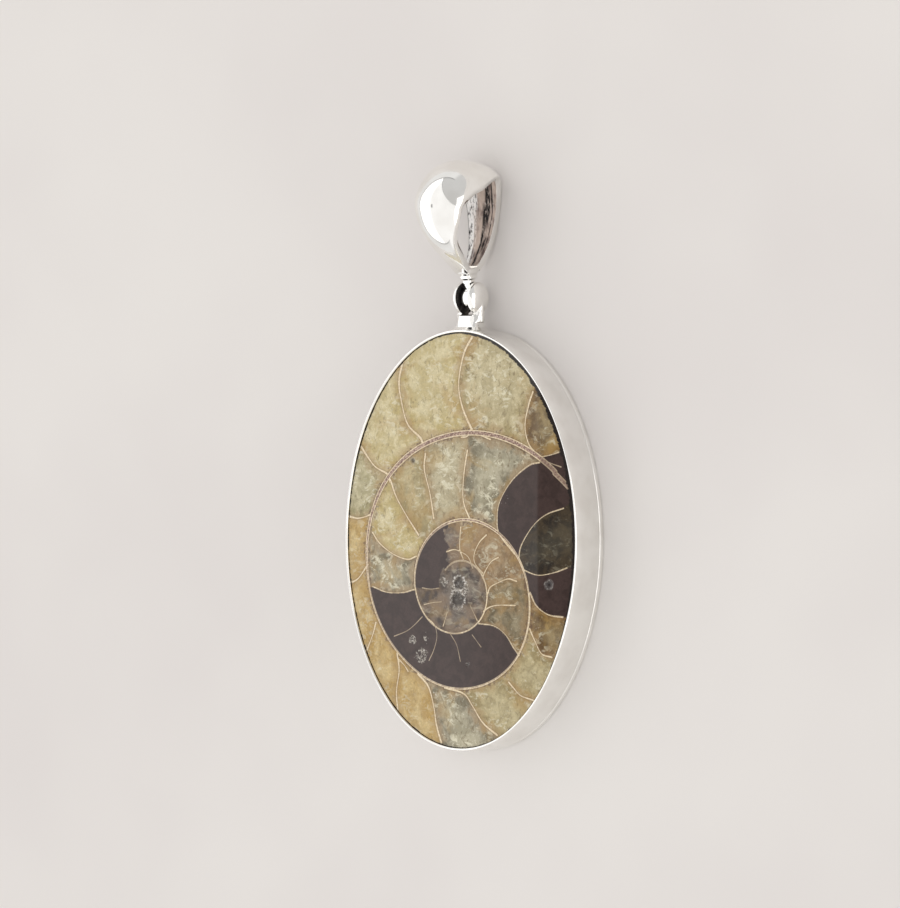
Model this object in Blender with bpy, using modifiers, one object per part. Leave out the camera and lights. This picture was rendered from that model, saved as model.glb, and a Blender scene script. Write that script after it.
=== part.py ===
"""Oval pendant: a polished slice of fossil ammonite in a smooth bezel, with a hinged teardrop bail.

The pendant lies on its flat back. Its face looks up along +Z, its bail points along +Y, and the
origin is on the surface that it lies on, under the middle of its footprint. Lengths below are in
millimetres, and each point is turned into metres where its mesh is made.
"""

import math

import bmesh
import bpy
from mathutils import Matrix, Vector
from mathutils.geometry import interpolate_bezier

MM = 0.001

# Oval setting
OVAL_WIDTH = 28.1
OVAL_LENGTH = 40.3
SETTING_HEIGHT = 4.3
PLATE_THICKNESS = 0.7
PLATE_EDGE_ROUND = 0.2
SOLDER_GAP = 0.05
BAND_THICKNESS = 0.32
SHOULDER_DROP = 0.5
SHOULDER_REACH = 0.2
LIP_REACH = 0.36
LIP_THICKNESS = 0.12
SHOULDER_STEPS = 5
OVAL_STEPS = 96

# Ammonite slice
STONE_SIDE_GAP = 0.1
STONE_BASE_Z = PLATE_THICKNESS + SOLDER_GAP
STONE_GIRDLE_Z = 3.4
STONE_RIM_Z = 4.06
STONE_RIM_INSET = 0.5
STONE_CROWN_HEIGHT = 0.55
STONE_CROWN_RINGS = (0.95, 0.86, 0.72, 0.54, 0.34, 0.14)

# Hinge: its pin runs along X above the top end of the oval
HINGE_RISE = 2.95
HINGE_Z = 2.4
PIN_RADIUS = 0.35
PIN_CLEARANCE = 0.05
LUG_RADIUS = 1.55
LUG_OUTER_X = 1.15
LUG_INNER_X = 0.65
LUG_FOOT_DROP = 2.15
LUG_FOOT_DEPTH = 0.8
WEB_TOP_DROP = 1.6
PAD_TOP_DROP = 2.1
PAD_HALF_WIDTH = 1.55
PAD_HALF_DEPTH = 1.25
ROUND_STEPS = 32

# Bail, measured from the pin: up is away from the setting, depth is positive towards the face
BAIL_LEAN_DEG = 10.33
BAIL_THICKNESS = 0.65
KNUCKLE_RADIUS = 0.95
KNUCKLE_HALF_WIDTH = 0.5
NECK_HALF_DEPTH = 0.5
BAIL_START = (2.5, 0.95)
BAIL_FRONT = (9.1, 4.9)
BAIL_TOP = (13.3, 0.3)
BAIL_BACK = (10.1, -4.05)
BAIL_END = (2.5, -0.95)
STRAP_HALF_WIDTHS = (0.75, 1.6, 2.75, 3.2, 3.5, 3.3, 2.15, 1.5, 0.75)
STRAP_DROOPS = (0.0, 0.9, 1.9, 2.7, 2.9, 1.7, 0.3, 0.1, 0.0)
STRAP_EDGE_ANGLE = math.radians(80)
STRAP_STEPS = 14
STRAP_CROSS_STEPS = 10

SILVER = (0.88, 0.87, 0.85, 1.0)
SILVER_ROUGHNESS = 0.14
STONE_COLOUR = (0.46, 0.38, 0.22, 1.0)
STONE_ROUGHNESS = 0.2


def clear_scene():
    for item in list(bpy.data.objects):
        bpy.data.objects.remove(item, do_unlink=True)


def new_collection(name):
    collection = bpy.data.collections.new(name)
    bpy.context.scene.collection.children.link(collection)
    return collection


def new_material(name, colour, roughness, metallic):
    material = bpy.data.materials.new(name)
    material.use_nodes = True
    shader = material.node_tree.nodes["Principled BSDF"]
    shader.inputs["Base Color"].default_value = colour
    shader.inputs["Roughness"].default_value = roughness
    shader.inputs["Metallic"].default_value = metallic
    return material


def new_object(name, bm, collection, parent, material=None):
    """Makes an object of a mesh built in millimetres, with smooth round sides and sharp corners."""
    bmesh.ops.scale(bm, vec=(MM, MM, MM), verts=bm.verts)
    bmesh.ops.recalc_face_normals(bm, faces=bm.faces)
    mesh = bpy.data.meshes.new(name)
    bm.to_mesh(mesh)
    bm.free()
    mesh.shade_smooth()
    mesh.set_sharp_from_angle(angle=math.radians(35))
    if material:
        mesh.materials.append(material)
    item = bpy.data.objects.new(name, mesh)
    item.parent = parent
    collection.objects.link(item)
    return item


def loft(bm, rings, closed=False):
    """Skins rings of equally many points. The first and last are capped, or joined if closed."""
    loops = [[bm.verts.new(point) for point in ring] for ring in rings]
    pairs = list(zip(loops, loops[1:]))
    if closed:
        pairs.append((loops[-1], loops[0]))
    else:
        bm.faces.new(loops[0])
        bm.faces.new(loops[-1])
    for low, high in pairs:
        for i in range(len(low)):
            j = (i + 1) % len(low)
            bm.faces.new((low[i], low[j], high[j], high[i]))


def join(target, tool, operation):
    modifier = target.modifiers.new(operation.title() + " " + tool.name, "BOOLEAN")
    modifier.operation = operation
    modifier.solver = "EXACT"
    modifier.object = tool
    tool.hide_render = True
    tool.display_type = "WIRE"


def oval_ring(inset, z, scale=1.0):
    """Points round the oval, inset by a constant distance from its outer edge, then scaled."""
    ring = []
    for step in range(OVAL_STEPS):
        turn = 2 * math.pi * step / OVAL_STEPS
        half_x, half_y = OVAL_WIDTH / 2, OVAL_LENGTH / 2
        outward = Vector((math.cos(turn) / half_x, math.sin(turn) / half_y)).normalized()
        x = (half_x * math.cos(turn) - inset * outward.x) * scale
        y = (half_y * math.sin(turn) - inset * outward.y) * scale
        ring.append(Vector((x, y, z)))
    return ring


def prism(bm, outline, low_x, high_x):
    """A flat outline of (y, z) points, extruded along X."""
    loft(bm, [[Vector((x, y, z)) for y, z in outline] for x in (low_x, high_x)])


def rod(name, radius, half_length, collection, parent, material=None):
    """A cylinder along X, centred on the origin."""
    bm = bmesh.new()
    bmesh.ops.create_cone(
        bm,
        cap_ends=True,
        segments=ROUND_STEPS,
        radius1=radius,
        radius2=radius,
        depth=2 * half_length,
        matrix=Matrix.Rotation(math.pi / 2, 4, "Y"),
    )
    return new_object(name, bm, collection, parent, material)


def make_back_plate(collection, parent, material):
    """The sheet that closes the back, flush with the bezel round its edge."""
    corner = PLATE_EDGE_ROUND
    rings = [
        oval_ring(corner, 0.0),
        oval_ring(0.3 * corner, 0.3 * corner),
        oval_ring(0.0, corner),
        oval_ring(0.0, PLATE_THICKNESS),
    ]
    bm = bmesh.new()
    loft(bm, rings)
    return new_object("back_plate", bm, collection, parent, material)


def make_bezel(collection, parent, material):
    """The upright band, with its shoulder rolled in over the slice as a thin lip."""
    bottom = PLATE_THICKNESS + SOLDER_GAP
    shoulder_z = SETTING_HEIGHT - SHOULDER_DROP
    rings = [oval_ring(0.0, bottom)]
    for step in range(SHOULDER_STEPS + 1):
        turn = math.pi / 2 * step / SHOULDER_STEPS
        inset = SHOULDER_REACH * (1 - math.cos(turn))
        rings.append(oval_ring(inset, shoulder_z + SHOULDER_DROP * math.sin(turn)))
    rings.append(oval_ring(LIP_REACH, SETTING_HEIGHT - LIP_THICKNESS))
    rings.append(oval_ring(BAND_THICKNESS, shoulder_z))
    rings.append(oval_ring(BAND_THICKNESS, bottom))
    bm = bmesh.new()
    loft(bm, rings, closed=True)
    return new_object("bezel", bm, collection, parent, material)


def make_ammonite(collection, parent, material):
    """The slice: straight below its girdle, bevelled under the lip, and gently crowned on top."""
    girdle_inset = BAND_THICKNESS + STONE_SIDE_GAP
    rings = [
        oval_ring(girdle_inset, STONE_BASE_Z),
        oval_ring(girdle_inset, STONE_GIRDLE_Z),
        oval_ring(STONE_RIM_INSET, STONE_RIM_Z),
    ]
    for scale in STONE_CROWN_RINGS:
        rise = STONE_CROWN_HEIGHT * (1 - scale**2)
        rings.append(oval_ring(STONE_RIM_INSET, STONE_RIM_Z + rise, scale))
    bm = bmesh.new()
    loft(bm, rings)
    return new_object("ammonite", bm, collection, parent, material)


def lug_outline():
    """A disc round the pin that narrows to a foot below it, as (y, z) points from the pin."""
    reach = math.hypot(LUG_FOOT_DROP, LUG_FOOT_DEPTH)
    foot_angle = math.atan2(LUG_FOOT_DROP, LUG_FOOT_DEPTH)
    tangent = math.pi / 2 + math.acos(LUG_RADIUS / reach) - foot_angle
    points = [(-LUG_FOOT_DROP, -LUG_FOOT_DEPTH)]
    first, last = -math.pi / 2 - tangent, math.pi / 2 + tangent
    for step in range(ROUND_STEPS + 1):
        turn = first + (last - first) * step / ROUND_STEPS
        points.append((LUG_RADIUS * math.cos(turn), LUG_RADIUS * math.sin(turn)))
    points.append((-LUG_FOOT_DROP, LUG_FOOT_DEPTH))
    return points


def make_hinge_fork(collection, cutters, hinge, material):
    """Two round lugs on one foot, with a web between them and a bore for the pin."""
    bm = bmesh.new()
    prism(bm, lug_outline(), LUG_INNER_X, LUG_OUTER_X)
    fork = new_object("hinge_fork", bm, collection, hinge, material)

    bm = bmesh.new()
    prism(bm, lug_outline(), -LUG_OUTER_X, -LUG_INNER_X)
    join(fork, new_object("left_lug", bm, cutters, hinge), "UNION")

    foot_end = HINGE_RISE - SOLDER_GAP
    overlap = 0.02
    bm = bmesh.new()
    sections = (
        (-foot_end, PAD_HALF_WIDTH, PAD_HALF_DEPTH),
        (-PAD_TOP_DROP, LUG_OUTER_X - overlap, LUG_FOOT_DEPTH - overlap),
        (-WEB_TOP_DROP, LUG_OUTER_X - overlap, LUG_FOOT_DEPTH - overlap),
    )
    loft(
        bm,
        [
            [Vector((sx * x, y, sz * z)) for sx, sz in ((-1, -1), (1, -1), (1, 1), (-1, 1))]
            for y, x, z in sections
        ],
    )
    join(fork, new_object("foot", bm, cutters, hinge), "UNION")

    bore = rod("fork_bore", PIN_RADIUS + PIN_CLEARANCE, 2 * LUG_OUTER_X, cutters, hinge)
    join(fork, bore, "DIFFERENCE")
    return fork


def strap_value(values, place):
    """A smooth value at place 0 to 1 along evenly spaced values, by a Catmull-Rom curve."""
    at = min(max(place, 0.0), 1.0) * (len(values) - 1)
    i = min(int(at), len(values) - 2)
    t = at - i
    before, here = values[max(i - 1, 0)], values[i]
    there, after = values[i + 1], values[min(i + 2, len(values) - 1)]
    slope_here, slope_there = (there - before) / 2, (after - here) / 2
    return (
        here * (2 * t**3 - 3 * t**2 + 1)
        + slope_here * (t**3 - 2 * t**2 + t)
        + there * (3 * t**2 - 2 * t**3)
        + slope_there * (t**3 - t**2)
    )


def bail_crown():
    """The middle line of the bail's outer face, up its front, over its top and down its back."""
    knots = [Vector(point) for point in (BAIL_START, BAIL_FRONT, BAIL_TOP, BAIL_BACK, BAIL_END)]
    leave = [Vector(v) for v in ((2.3, 2.3), (2.4, 0), (0, -1.9), (-2.6, 0))]
    arrive = [Vector(v) for v in ((-3.4, 0), (0, 1.9), (2.2, 0), (1.9, -2.4))]
    points = []
    for i in range(len(knots) - 1):
        start, end = knots[i], knots[i + 1]
        stretch = interpolate_bezier(
            start, start + leave[i], end + arrive[i], end, STRAP_STEPS + 1
        )
        points += stretch if i == len(knots) - 2 else stretch[:-1]
    return points


def strap_point(crown, index, angle):
    """A point of the bail's outer face, at an angle across it from the crown line."""
    ahead = crown[min(index + 1, len(crown) - 1)]
    behind = crown[max(index - 1, 0)]
    along = (ahead - behind).normalized()
    outward = Vector((-along.y, along.x))
    place = index / (len(crown) - 1)
    half_width = strap_value(STRAP_HALF_WIDTHS, place)
    droop = strap_value(STRAP_DROOPS, place) * (1 - math.cos(angle))
    up, depth = crown[index] - outward * droop
    return Vector((half_width * math.sin(angle) / math.sin(STRAP_EDGE_ANGLE), up, depth))


def make_bail(collection, cutters, bail_axis, material):
    """A puffed strap bent into a teardrop loop, its ends joined on a neck and a knuckle."""
    crown = bail_crown()
    bm = bmesh.new()
    bmesh.ops.create_grid(
        bm, x_segments=len(crown) - 1, y_segments=STRAP_CROSS_STEPS, size=1.0
    )
    for vert in bm.verts:
        index = round((vert.co.x + 1) / 2 * (len(crown) - 1))
        vert.co = strap_point(crown, index, vert.co.y * STRAP_EDGE_ANGLE)
    bail = new_object("bail", bm, collection, bail_axis, material)
    shell = bail.modifiers.new("Sheet thickness", "SOLIDIFY")
    shell.thickness = BAIL_THICKNESS * MM
    shell.offset = -1
    shell.use_even_offset = True

    half_outline = [
        (0.4, NECK_HALF_DEPTH),
        (2.1, NECK_HALF_DEPTH),
        (3.0, 1.15),
        (3.3, 0.75),
    ]
    outline = half_outline + [(2.5, 0.0)] + [(up, -depth) for up, depth in half_outline[::-1]]
    bm = bmesh.new()
    prism(bm, outline, -KNUCKLE_HALF_WIDTH, KNUCKLE_HALF_WIDTH)
    join(bail, new_object("neck", bm, cutters, bail_axis), "UNION")

    knuckle = rod("knuckle", KNUCKLE_RADIUS, KNUCKLE_HALF_WIDTH, cutters, bail_axis)
    join(bail, knuckle, "UNION")
    bore = rod("knuckle_bore", PIN_RADIUS + PIN_CLEARANCE, LUG_OUTER_X, cutters, bail_axis)
    join(bail, bore, "DIFFERENCE")
    return bail


def footprint_middle():
    """How far the middle of the footprint lies along Y from the middle of the oval."""
    lean = math.radians(BAIL_LEAN_DEG)
    reach = max(up * math.cos(lean) - depth * math.sin(lean) for up, depth in bail_crown())
    top = OVAL_LENGTH / 2 + HINGE_RISE + reach
    return (top - OVAL_LENGTH / 2) / 2


def new_empty(name, collection, parent, location):
    empty = bpy.data.objects.new(name, None)
    empty.parent = parent
    empty.location = Vector(location) * MM
    collection.objects.link(empty)
    return empty


def main():
    clear_scene()
    pendant = new_collection("ammonite_pendant")
    cutters = new_collection("cutters")
    silver = new_material("silver", SILVER, SILVER_ROUGHNESS, 1.0)
    plate_silver = new_material("plate_silver", SILVER, SILVER_ROUGHNESS, 1.0)
    fork_silver = new_material("fork_silver", SILVER, SILVER_ROUGHNESS, 1.0)
    pin_silver = new_material("pin_silver", SILVER, SILVER_ROUGHNESS, 1.0)
    bail_silver = new_material("bail_silver", SILVER, SILVER_ROUGHNESS, 1.0)
    stone = new_material("ammonite_stone", STONE_COLOUR, STONE_ROUGHNESS, 0.0)

    oval = new_empty("oval_middle", pendant, None, (0, -footprint_middle(), 0))
    hinge = new_empty("hinge_axis", pendant, oval, (0, OVAL_LENGTH / 2 + HINGE_RISE, HINGE_Z))
    bail_axis = new_empty("bail_axis", pendant, hinge, (0, 0, 0))
    bail_axis.rotation_euler.x = math.radians(BAIL_LEAN_DEG)

    make_back_plate(pendant, oval, plate_silver)
    make_bezel(pendant, oval, silver)
    make_ammonite(pendant, oval, stone)
    make_hinge_fork(pendant, cutters, hinge, fork_silver)
    rod("hinge_pin", PIN_RADIUS, LUG_OUTER_X, pendant, hinge, pin_silver)
    make_bail(pendant, cutters, bail_axis, bail_silver)


main()
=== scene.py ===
"""Looks of the ammonite pendant: a polished fossil slice in a bright silver bezel with a bail.

Lengths are in millimetres unless a name says otherwise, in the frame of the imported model, and are
turned into metres where a mesh is made.
"""

import math

import bmesh
import bpy
import numpy as np
from mathutils import Matrix, Vector, kdtree
from mathutils.geometry import interpolate_bezier


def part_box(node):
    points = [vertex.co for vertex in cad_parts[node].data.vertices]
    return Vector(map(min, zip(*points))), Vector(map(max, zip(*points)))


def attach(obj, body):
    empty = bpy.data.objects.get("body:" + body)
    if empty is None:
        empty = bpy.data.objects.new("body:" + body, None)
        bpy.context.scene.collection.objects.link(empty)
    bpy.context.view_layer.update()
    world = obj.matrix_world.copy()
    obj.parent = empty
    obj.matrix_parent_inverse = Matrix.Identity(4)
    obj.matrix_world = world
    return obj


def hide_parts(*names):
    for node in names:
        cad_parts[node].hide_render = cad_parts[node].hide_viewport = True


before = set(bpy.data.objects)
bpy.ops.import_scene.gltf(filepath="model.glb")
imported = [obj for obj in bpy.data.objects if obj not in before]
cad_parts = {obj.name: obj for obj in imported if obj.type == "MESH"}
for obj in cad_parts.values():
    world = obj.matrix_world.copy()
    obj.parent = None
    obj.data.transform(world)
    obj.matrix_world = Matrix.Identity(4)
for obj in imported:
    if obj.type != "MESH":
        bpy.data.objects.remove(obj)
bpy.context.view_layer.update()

MM = 0.001

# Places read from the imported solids, in millimetres
BEZEL_LOW, BEZEL_HIGH = [Vector(corner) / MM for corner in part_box("bezel")]
PLATE_TOP = (Vector(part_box("back_plate")[1]) / MM).z
PIN_LOW, PIN_HIGH = [Vector(corner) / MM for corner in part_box("hinge_pin")]
HALF_X = (BEZEL_HIGH.x - BEZEL_LOW.x) / 2
HALF_Y = (BEZEL_HIGH.y - BEZEL_LOW.y) / 2
OVAL_Y = (BEZEL_HIGH.y + BEZEL_LOW.y) / 2
TOP_Z = BEZEL_HIGH.z
HINGE = (PIN_LOW + PIN_HIGH) / 2

# Setting
OVAL_STEPS = 360
BAND = 0.32
SHOULDER_DROP = 1.1
SHOULDER_REACH = 0.17
LIP_REACH = 0.33
RIM_INSET = 0.36
RIM_Z = 4.06
GIRDLE_Z = 3.4
GIRDLE_PLAY = 0.08
CROWN = 0.55
STONE_BOTTOM = 0.75
STONE_CHAMFER = 0.04
PLATE_CORNER = 0.22
SOLDER_GAP = 0.02

# Hinge: the dark slot between the lugs reaches this far to each side, and this far below the pin
SLOT_HALF_X = 0.68
SLOT_DROP = 1.72

# Bail, as up and depth from the pin, with curve handles as offsets from the knots
BAIL_LEAN = math.radians(10.33)
BAIL_SHEET = 0.65
BAIL_KNOTS = ((2.5, 0.95), (9.1, 4.9), (13.3, 0.3), (10.1, -4.05), (2.5, -0.95))
BAIL_LEAVE = ((2.3, 2.3), (2.4, 0), (0, -1.9), (-2.6, 0))
BAIL_ARRIVE = ((-3.4, 0), (0, 1.9), (2.2, 0), (1.9, -2.4))
STRAP_HALF_WIDTHS = (0.75, 1.6, 2.75, 3.2, 3.5, 3.3, 2.15, 1.5, 0.75)
STRAP_DROOPS = (0.0, 0.9, 1.9, 2.7, 2.9, 1.7, 0.3, 0.1, 0.0)
STRAP_EDGE = math.radians(80)
STRAP_LENGTH = 30

# The shell's spiral wall on the slice, measured from its middle on the oval
SHELL_MIDDLE = Vector((0.35, -4.5))
WALL_START_DEG = 45
WALL_STEP_DEG = 45
WALL_RADII = (
    15.61, 14.67, 13.59, 11.34, 9.89, 9.64, 9.28, 8.01,
    7.03, 6.43, 5.97, 5.47, 4.91, 4.34, 3.77, 3.17, 2.75, 2.55, 2.4,
)
WHORL_GROWTH = 2.2

# Septa on the slice from the youngest chamber to the oldest, as points from the oval's middle,
# each with its half-width (0 draws no line) and the filling of the chamber on its younger side
SEPTA = (
    (((9.6, 7.9), (10.8, 8.1), (11.9, 8.4)), 0.06, "mud"),
    (((9.6, 7.9), (8.4, 9.1), (7.9, 10.9), (8.3, 12.9), (8.7, 14.0)), 0.08, "umber"),
    (((1.7, 10.5), (0.5, 12.7), (0.0, 14.9), (0.5, 17.7), (1.5, 19.4)), 0.11, "straw"),
    (((-4.3, 8.9), (-4.5, 9.7), (-6.2, 11.1), (-7.1, 13.5), (-7.4, 15.2), (-7.1, 16.7)), 0.11, "honey"),
    (((-8.3, 5.6), (-8.7, 6.3), (-10.4, 7.1), (-12.3, 9.1)), 0.11, "honey"),
    (((-10.3, 3.2), (-10.8, 2.4), (-12.4, 2.0), (-13.8, 2.2)), 0.1, "moss"),
    (((-11.2, -2.5), (-12.4, -3.8), (-13.5, -4.3)), 0.09, "gold"),
    (((-10.2, -8.1), (-10.6, -9.2), (-11.5, -10.9)), 0.08, "gold"),
    (((-7.5, -11.0), (-7.3, -12.6), (-7.7, -14.6), (-7.6, -16.5)), 0.08, "gold"),
    (((-4.9, -12.9), (-3.7, -14.0), (-3.1, -15.8), (-2.8, -17.7), (-2.3, -19.3)), 0.1, "gold"),
    (((-1.6, -14.1), (0.6, -14.6), (1.6, -15.7), (2.8, -17.3), (4.4, -18.4)), 0.09, "pale"),
    (((6.0, -13.4), (6.5, -13.9), (7.3, -14.6), (8.7, -15.0)), 0.07, "olive"),
    (((8.5, -8.3), (9.1, -9.5), (9.8, -10.6), (10.9, -10.9)), 0.07, "olive"),
    (((8.6, -4.9), (9.3, -6.1), (10.6, -6.9), (12.2, -7.1)), 0.08, "umber"),
    (((7.8, -2.7), (8.9, -3.1), (9.9, -3.2), (11.5, -2.9), (12.7, -2.5)), 0.06, "mud"),
    (((7.3, -1.6), (7.6, -0.4), (8.9, 1.4), (10.4, 2.5), (12.3, 3.1)), 0.06, "murk"),
    (((9.6, 7.4), (8.4, 7.1), (6.5, 5.7), (5.1, 3.7), (4.8, 2.0), (5.1, 0.6), (6.8, -1.2)), 0.07, "mud"),
    (((1.2, 8.5), (0.8, 6.0), (0.8, 3.7), (1.7, 1.8)), 0.08, "pale"),
    (((-3.9, 8.2), (-4.0, 6.7), (-3.3, 4.5), (-2.8, 2.1)), 0.08, "dun"),
    (((-8.2, 5.6), (-7.5, 4.1), (-6.2, 2.3), (-4.7, 0.5)), 0.08, "olive"),
    (((-10.5, 0.6), (-9.6, -0.4), (-7.9, -1.4), (-6.1, -1.9), (-5.0, -1.6)), 0.07, "honey"),
    (((-10.5, -4.6), (-8.7, -5.1), (-6.7, -5.1), (-5.3, -4.8)), 0.06, "pale"),
    (((-4.3, -7.4), (-5.3, -8.2), (-6.3, -8.8), (-7.8, -9.3)), 0.04, "mud"),
    (((-3.8, -7.4), (-2.8, -8.1), (-2.5, -9.2), (-2.9, -10.5), (-3.5, -11.5)), 0.04, "mud"),
    (((-0.8, -9.0), (-0.1, -10.0), (0.3, -11.5)), 0.035, "mud"),
    (((1.8, -9.0), (2.8, -10.1)), 0.035, "mud"),
    (((2.6, -7.9), (4.4, -8.1), (5.7, -8.9), (6.6, -10.1), (7.2, -10.8)), 0.055, "mud"),
    (((3.2, -6.7), (3.9, -6.3), (5.0, -6.1), (6.8, -6.1)), 0.06, "fern"),
    (((3.7, -5.0), (4.0, -4.4), (5.1, -3.9), (6.1, -3.6), (7.0, -3.8)), 0.06, "fern"),
    (((3.1, -3.5), (3.4, -2.9), (4.1, -2.0), (4.9, -1.6)), 0.06, "rust"),
    (((3.1, -3.1), (2.2, -2.2), (2.1, -1.3), (2.7, -0.2), (3.5, 0.5)), 0.06, "rust"),
    (((0.8, -1.8), (0.4, -0.9), (0.4, 0.2), (0.5, 1.2)), 0.06, "rust"),
    (((-0.9, -2.0), (-1.3, -0.4), (-1.2, 1.3)), 0.0, "dusk"),
    (((-2.2, -4.6), (-3.2, -4.7), (-4.2, -4.6)), 0.035, "mud"),
    (((-1.2, -6.9), (-1.7, -8.2)), 0.03, "ash"),
    (((1.6, -6.2), (2.4, -7.6)), 0.03, "ash"),
)
OLDEST_FILL = "ash"
EXTRA_VEINS = (
    (((9.9, 7.7), (11.0, 7.3), (12.0, 7.0)), 0.05),
    (((1.7, 10.5), (2.7, 10.0), (3.9, 9.6)), 0.07),
    (((1.7, 10.5), (1.2, 9.9), (0.5, 9.8)), 0.07),
    (((-7.2, -11.6), (-6.6, -12.1), (-6.2, -12.6)), 0.06),
    (((-1.2, -1.1), (-0.3, -0.9), (0.5, -1.1), (1.4, -1.6), (1.9, -2.6)), 0.05),
    (((-1.9, -5.9), (-3.0, -6.0), (-4.0, -6.2)), 0.025),
)
# Fillings: darker tone, lighter tone, and how crystalline
FILLINGS = {
    "mud": ((52, 37, 33), (62, 46, 42), 0.0),
    "murk": ((36, 28, 21), (62, 51, 36), 0.14),
    "ash": ((68, 56, 49), (112, 100, 90), 0.3),
    "dusk": ((84, 72, 64), (118, 104, 92), 0.35),
    "fern": ((92, 78, 50), (134, 120, 92), 0.6),
    "rust": ((126, 101, 70), (156, 134, 104), 0.7),
    "umber": ((96, 72, 42), (138, 116, 78), 0.6),
    "dun": ((154, 140, 108), (180, 169, 138), 0.85),
    "olive": ((148, 132, 90), (178, 163, 122), 0.7),
    "moss": ((148, 138, 98), (180, 170, 134), 0.85),
    "pale": ((116, 108, 86), (160, 152, 130), 1.0),
    "gold": ((172, 140, 76), (194, 168, 112), 0.45),
    "honey": ((178, 160, 106), (202, 188, 146), 0.7),
    "straw": ((158, 142, 100), (188, 174, 136), 0.9),
}
RING_CAVITIES = (((0.3, -4.1), 0.72), ((0.1, -5.6), 0.85))
RING_GROOVE = 0.12
PIT_DEPTH = 0.09
PITS = (
    ((10.7, -4.08), 0.42),
    ((-5.44, 7.57), 0.3),
    ((1.2, -11.8), 0.14),
)
DRUSES = (
    ((-4.5, -11.0), 0.75),
    ((-5.5, -9.6), 0.4),
    ((-3.9, -9.4), 0.35),
    ((-1.6, -4.0), 0.55),
    ((0.3, -4.8), 1.1),
)

# Camera and light
VIEW_TURN = math.radians(38.0)
VIEW_TARGET = Vector((-0.65, 0.17, 4.8))
VIEW_DISTANCE = 500.0
PHOTO_SIZE = (900, 908)
PIXELS_PER_MM = 10.5
SENSOR_MM = 36.0
FLOOR_SIZE = 900.0
SOFTBOX_SLANT = 0.9
SOFTBOX_EDGE = 0.68
ROOM_LEVEL = 0.9


def linear(colour):
    """An sRGB colour of 0 to 255, as the linear colour that a node takes."""
    parts = [part / 255 for part in colour]
    return tuple(p / 12.92 if p <= 0.04045 else ((p + 0.055) / 1.055) ** 2.4 for p in parts) + (1.0,)


# Meshes


def link(name, mesh, smooth_angle=None):
    item = bpy.data.objects.new(name, mesh)
    bpy.context.scene.collection.objects.link(item)
    mesh.shade_smooth()
    if smooth_angle is not None:
        mesh.set_sharp_from_angle(angle=math.radians(smooth_angle))
    return item


def mesh_of(name, verts, faces, smooth_angle=None):
    """An object from points in millimetres."""
    mesh = bpy.data.meshes.new(name)
    mesh.from_pydata([tuple(c * MM for c in vert) for vert in verts], [], faces)
    mesh.update()
    return link(name, mesh, smooth_angle)


def loft_faces(ring_count, ring_size, closed):
    faces = []
    for k in range(ring_count if closed else ring_count - 1):
        low, high = k * ring_size, (k + 1) % ring_count * ring_size
        for i in range(ring_size):
            j = (i + 1) % ring_size
            faces.append((low + i, low + j, high + j, high + i))
    return faces


def loft(name, rings, closed=False, smooth_angle=None):
    """Skins rings of equally many points, with flat caps unless closed."""
    size = len(rings[0])
    verts = [point for ring in rings for point in ring]
    faces = loft_faces(len(rings), size, closed)
    if not closed:
        faces.append(tuple(reversed(range(size))))
        faces.append(tuple(range(len(verts) - size, len(verts))))
    item = mesh_of(name, verts, faces, smooth_angle)
    outward(item)
    return item


def outward(item):
    bm = bmesh.new()
    bm.from_mesh(item.data)
    bmesh.ops.recalc_face_normals(bm, faces=bm.faces)
    bm.to_mesh(item.data)
    bm.free()


def apply_modifiers(item):
    """Replaces the object's mesh by its evaluated one."""
    graph = bpy.context.evaluated_depsgraph_get()
    mesh = bpy.data.meshes.new_from_object(item.evaluated_get(graph))
    item.modifiers.clear()
    item.data = mesh
    return item


def merged(name, items):
    """One object from several, whose meshes may cross each other."""
    bm = bmesh.new()
    for item in items:
        bm.from_mesh(item.data)
        bpy.data.objects.remove(item, do_unlink=True)
    mesh = bpy.data.meshes.new(name)
    bm.to_mesh(mesh)
    bm.free()
    return link(name, mesh)


def cast_in_one(item, voxel, smoothing):
    """Fuses crossing shells into one skin with soft inner corners, as solder and casting leave."""
    remesh = item.modifiers.new("Fuse", "REMESH")
    remesh.mode = "VOXEL"
    remesh.voxel_size = voxel * MM
    remesh.use_smooth_shade = True
    soften = item.modifiers.new("Soften", "SMOOTH")
    soften.factor = 0.5
    soften.iterations = smoothing
    return apply_modifiers(item)


def oval_point(turn, inset):
    """A point inset from the oval's outer edge, seen from the oval's middle."""
    x, y = math.cos(turn) / HALF_X, math.sin(turn) / HALF_Y
    size = math.hypot(x, y)
    return HALF_X * math.cos(turn) - inset * x / size, HALF_Y * math.sin(turn) - inset * y / size


def oval_ring(inset, z, wander=None):
    """Points round the oval. wander(turn) adds (outwards, upwards) to each."""
    ring = []
    for step in range(OVAL_STEPS):
        turn = 2 * math.pi * step / OVAL_STEPS
        out, up = wander(turn) if wander else (0.0, 0.0)
        x, y = oval_point(turn, inset - out)
        ring.append((x, y + OVAL_Y, z + up))
    return ring


def hand_wander(size):
    """Small smooth unevenness round the oval, as hand-burnishing leaves."""
    waves = [(3 + 2 * k, 0.7 * (k + 1), size / (k + 1)) for k in range(6)]

    def wander(turn):
        out = sum(a * math.sin(n * turn + p) for n, p, a in waves)
        up = sum(a * math.cos((n + 1) * turn + 2 * p) for n, p, a in waves)
        return out, 0.5 * up

    return wander


def faded(wander, share):
    """The same unevenness, made smaller."""
    return lambda turn: tuple(share * part for part in wander(turn))


# Materials


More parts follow.
